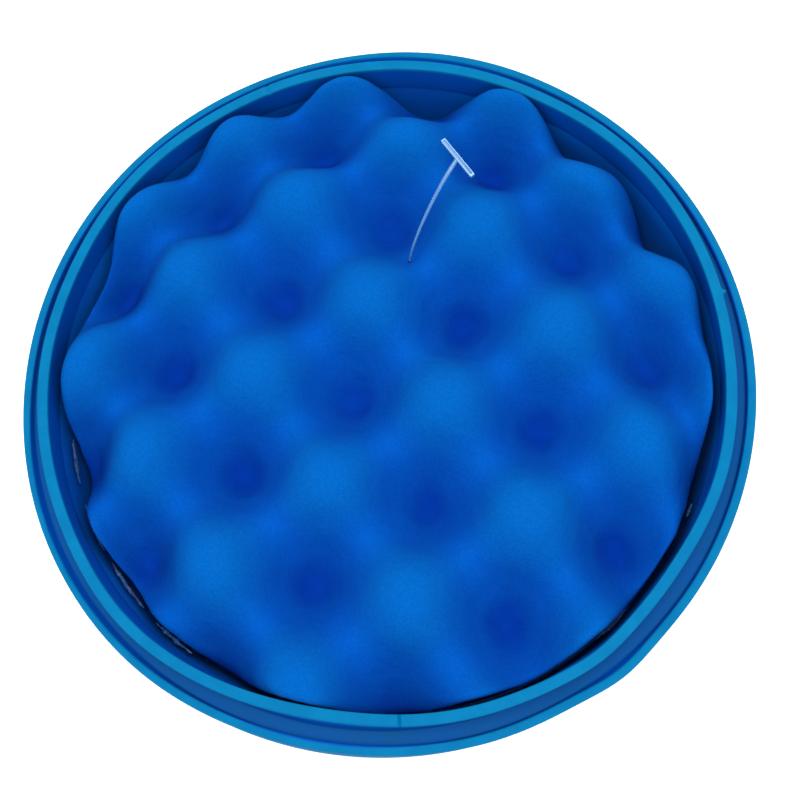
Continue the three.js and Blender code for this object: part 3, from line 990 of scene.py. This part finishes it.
filament_sizes = {
    "Paddle": above(PIN_PLACE, PADDLE_LEVEL + 0.05 * MM),
    "Leaves Foam": above(PIN_PLACE, 26.0 * MM),
    "Rises Towards": above(PIN_PLACE, 31.2 * MM),
    "Arrives From": Vector((11.7, 35.3, 40.9)) * MM,
    "T-bar": above(T_BAR_MIDDLE, -0.2 * MM),
    "Shank Overlap": 0.5 * MM,
    "Radius": 0.2 * MM,
    "Shank Radius": 0.25 * MM,
    "Gusset Radius": 0.5 * MM,
    "Gusset Starts": 0.88,
    "Nylon": nylon_finish,
}
tree, given = new_tree("Filament", filament_sizes)
feeds = {
    "Resolution": 60,
    "Start": given["Leaves Foam"],
    "Start Handle": given["Rises Towards"],
    "End Handle": given["Arrives From"],
    "End": given["T-bar"],
}
bent = out(tree, "GeometryNodeCurvePrimitiveBezierSegment", feeds)
way = add(tree, "GeometryNodeSplineParameter").outputs["Factor"]
feeds = {"Value": way, "From Min": given["Gusset Starts"], "To Max": 1.0}
widening = out(tree, "ShaderNodeMapRange", feeds)
extra = calc(tree, "MULTIPLY", widening, calc(tree, "SUBTRACT", given["Gusset Radius"], given["Radius"]))
swelling = calc(tree, "ADD", given["Radius"], extra)
overlap = out(tree, "ShaderNodeCombineXYZ", {"Z": given["Shank Overlap"]})
shank_end = vector_calc(tree, "ADD", given["Leaves Foam"], overlap)
feeds = {"Start": given["Paddle"], "End": shank_end}
straight = out(tree, "GeometryNodeCurvePrimitiveLine", feeds)
section = circle_line(tree, 1.0, 14)
joined = add(tree, "GeometryNodeMeshBoolean", operation="UNION", solver="EXACT")
for line, scale in ((bent, swelling), (straight, given["Shank Radius"])):
    tree.links.new(carry(tree, section, line, Scale=scale), joined.inputs[1])
end_tree(tree, joined.outputs["Mesh"], given["Nylon"])
tag_pin = clean(grow("nylon_tag_pin", tree, filament_sizes))

# %% Join the T-bar and the paddle
T_BAR_LENGTH = 10.3 * MM
T_BAR_SIZE = (T_BAR_LENGTH, 1.05 * MM, 1.0 * MM)
T_BAR_TURN = math.radians(-54.6)
CHANNEL_SIZE = (T_BAR_LENGTH - 0.8 * MM, 0.55 * MM, 0.6 * MM)
CHANNEL_RISE = 0.5 * MM
PADDLE_SIZE = (14 * MM, 4.5 * MM, 0.9 * MM)
PADDLE_TURN = math.atan2(PIN_PLACE.y, PIN_PLACE.x) + math.pi / 2


def flat_block(name, size, rounding, place, turn):
    """A rounded block that lies flat at a place, turned about the vertical."""
    there = Matrix.Translation(place) @ Matrix.Rotation(turn, 4, "Z")
    return mesh_from(name, rounded_block(size, rounding, there))


t_bar = flat_block("t_bar", T_BAR_SIZE, 0.2 * MM, T_BAR_MIDDLE, T_BAR_TURN)
channel = flat_block("channel", CHANNEL_SIZE, 0.12 * MM, above(T_BAR_MIDDLE, CHANNEL_RISE), T_BAR_TURN)
paddle = flat_block("paddle", PADDLE_SIZE, 0.3 * MM, above(PIN_PLACE, PADDLE_LEVEL), PADDLE_TURN)
t_bar = combine(t_bar, channel, "DIFFERENCE")
tag_pin = clean(combine(combine(tag_pin, t_bar, "UNION"), paddle, "UNION"))
wear(tag_pin, nylon_finish)
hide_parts("tag_pin")
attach(tag_pin, "pin")

# %% [markdown]
# ## The glue
# Blobs of hot-melt glue hold the foam to the wall here and there. A gun lays them by hand, so each is a
# smear that wanders, thins and thickens. One Geometry Nodes tree makes them all: a ball is drawn out along
# the wall, one-way noise sets its thickness and height, and a seed makes each one different. The finish is
# half clear, and takes its blue from the foam and the wall behind it. Its lighter cloudy patches are
# painted highlights.

# %% Make the glue finish
glue_finish, tree, shader, where = new_finish(
    "hot_melt", IOR=1.48, Transmission_Weight=0.35, Specular_IOR_Level=0.25
)
cloud = grain(tree, where, 5 * MM, detail=3)
tint = grain(tree, where, 9 * MM, detail=1)
fine = grain(tree, where, 0.5 * MM, detail=3)
colour = blend(tree, between(tree, tint, 0.35, 0.65), (0.006, 0.09, 0.25), (0.04, 0.06, 0.17))
# Painted highlights: lighter patches laid by the cloud noise.
colour = blend(tree, between(tree, cloud, 0.55, 0.8), colour, (0.1, 0.2, 0.38))
paint(tree, shader, colour, calc(tree, "MULTIPLY_ADD", fine, 0.3, 0.35))
ripple(tree, shader, (cloud, 0.2 * MM, 0.3), (fine, 0.1 * MM, 0.4))
print("Glue finish made")

# %% Draw out the glue
# For each blob: where along the rim in degrees, then its length, its height and its level in millimetres
GLUE_PLACES = [
    (47, 4, 1.6, 20.0), (193, 10, 2.4, 21.0), (206, 11, 3.4, 21.0), (218, 12, 1.8, 20.5),
    (231, 10, 2.2, 22.0), (311, 7, 2.4, 22.0), (336, 3, 1.6, 20.0),
]
SEED_STEP = 3.7
glue_sizes = {
    "Place": 0.0,
    "Length": 10 * MM,
    "Height": 3 * MM,
    "Level": 20 * MM,
    "Thickness": 1 * MM,
    "Wall": 67.2 * MM,
    "Wander": 1.6 * MM,
    "Seed": 1.0,
    "Lump Size": 0.9 * MM,
    "Lumps": 0.35 * MM,
    "Glue": glue_finish,
}


def one_way_noise(tree, way, turns, seed, shift):
    """A noise from 0 to 1 that changes along one direction only."""
    along = calc(tree, "ADD", calc(tree, "MULTIPLY_ADD", way, turns, seed), shift)
    return add(tree, "ShaderNodeTexNoise", {"W": along, "Scale": 1.0}, noise_dimensions="1D").outputs["Fac"]


tree, given = new_tree("Glue", glue_sizes)
ball = add(tree, "GeometryNodeMeshIcoSphere", {"Radius": 1.0, "Subdivisions": 5}).outputs["Mesh"]
sides = sides_of(tree, out(tree, "GeometryNodeInputPosition"))
swell = calc(tree, "MULTIPLY_ADD", one_way_noise(tree, sides["X"], 3.0, given["Seed"], 0.0), 1.3, 0.0)
half_length = calc(tree, "DIVIDE", given["Length"], 2.0)
swing = calc(tree, "DIVIDE", calc(tree, "MULTIPLY", sides["X"], half_length), given["Wall"])
half_swell = calc(tree, "DIVIDE", swell, 2.0)
depth = calc(tree, "MULTIPLY", calc(tree, "MULTIPLY", sides["Y"], half_swell), given["Thickness"])
rise = calc(tree, "MULTIPLY", calc(tree, "MULTIPLY", sides["Z"], half_swell), given["Height"])
stray = calc(tree, "SUBTRACT", one_way_noise(tree, sides["X"], 1.5, given["Seed"], 7.0), 0.5)
level = calc(tree, "ADD", given["Level"], calc(tree, "MULTIPLY_ADD", stray, given["Wander"], rise))
radius = calc(tree, "ADD", given["Wall"], depth)
drawn = polar(tree, radius, calc(tree, "ADD", given["Place"], swing), level)
smear = reshape(tree, ball, drawn, given["Lump Size"], given["Lumps"])
end_tree(tree, smear, given["Glue"])

for i, (place, length, height, level) in enumerate(GLUE_PLACES):
    chosen = {"Length": length * MM, "Height": height * MM, "Level": level * MM}
    chosen |= {"Place": math.radians(place), "Seed": SEED_STEP * i}
    blob = clean(grow(f"glue_smear_{i + 1}", tree, glue_sizes | chosen))
    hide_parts(f"glue_dab_{i + 1}")
    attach(blob, "filter")

# %% [markdown]
# ## The floor, the lights and the view
# A plain white floor, one wide soft light almost straight above, and an even pale surrounding. Nothing here
# belongs to the object. The view transform is the standard one, which keeps a saturated blue saturated.

# %% Set the stage
FLOOR_SIZE = 4.0
FLOOR_LEVEL = -0.05 * MM
LIGHT_PLACE = Vector((0.03, -0.06, 0.95))
LIGHT_SIZE = 0.7
LIGHT_POWER = 12.0
WORLD_STRENGTH = 1.35

floor_finish, tree, shader, where = new_finish("floor_white", Roughness=0.9)
shade = grain(tree, where, 0.4, detail=2)
paint(tree, shader, blend(tree, shade, (0.86, 0.86, 0.86), (0.9, 0.9, 0.9)))
floor_mesh = bpy.data.meshes.new("floor")
half = FLOOR_SIZE / 2
corners = [(x * half, y * half, FLOOR_LEVEL) for x, y in ((-1, -1), (1, -1), (1, 1), (-1, 1))]
floor_mesh.from_pydata(corners, [], [(0, 1, 2, 3)])
floor = show("floor", floor_mesh)
wear(floor, floor_finish)

light = bpy.data.objects.new("key_light", bpy.data.lights.new("key_light", "AREA"))
light.data.size = LIGHT_SIZE
light.data.energy = LIGHT_POWER
light.location = LIGHT_PLACE
light.rotation_euler = (-LIGHT_PLACE).to_track_quat("-Z", "Y").to_euler()
bpy.context.collection.objects.link(light)

world = bpy.data.worlds.new("studio")
world.use_nodes = True
surround = world.node_tree.nodes["Background"].inputs
surround["Color"].default_value = (1.0, 1.0, 1.0, 1.0)
surround["Strength"].default_value = WORLD_STRENGTH
bpy.context.scene.world = world
bpy.context.scene.view_settings.view_transform = "Standard"
print("Stage set")
